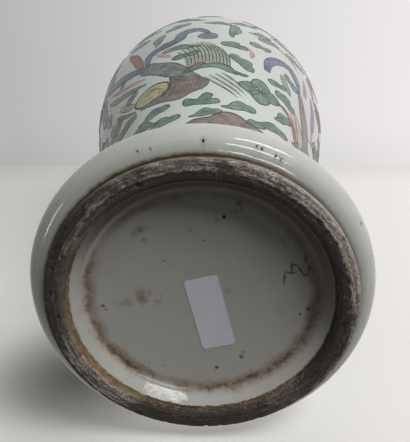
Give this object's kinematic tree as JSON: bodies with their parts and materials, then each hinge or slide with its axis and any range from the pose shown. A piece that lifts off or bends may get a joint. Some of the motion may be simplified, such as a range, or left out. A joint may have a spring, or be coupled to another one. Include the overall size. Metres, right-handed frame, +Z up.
{
  "type": "vase",
  "caption": "Tall porcelain baluster vase with a stepped round foot, high shoulder, waisted neck and flared mouth, enamelled with birds among green clouds.",
  "frame": {"origin": "centre of the foot ring's resting face", "axes": "+Z up along the vase's axis to the mouth; -Y towards the side that the picture shows"},
  "size_m": [0.184, 0.184, 0.427],
  "materials": {
    "glaze": "gloss",
    "enamelled_glaze": "gloss",
    "biscuit": "matte",
    "slip": "matte",
    "paper": "matte"
  },
  "bodies": {
    "root": {"foot_ring": "biscuit", "base_slab": "glaze", "foot_joint_slip": "slip", "lower_body": "enamelled_glaze", "middle_joint_slip": "slip", "upper_body": "enamelled_glaze", "belly_joint_slip": "slip", "shoulder": "enamelled_glaze", "neck_joint_slip": "slip", "neck": "enamelled_glaze", "paper_label": "paper"}
  },
  "joints": []
}
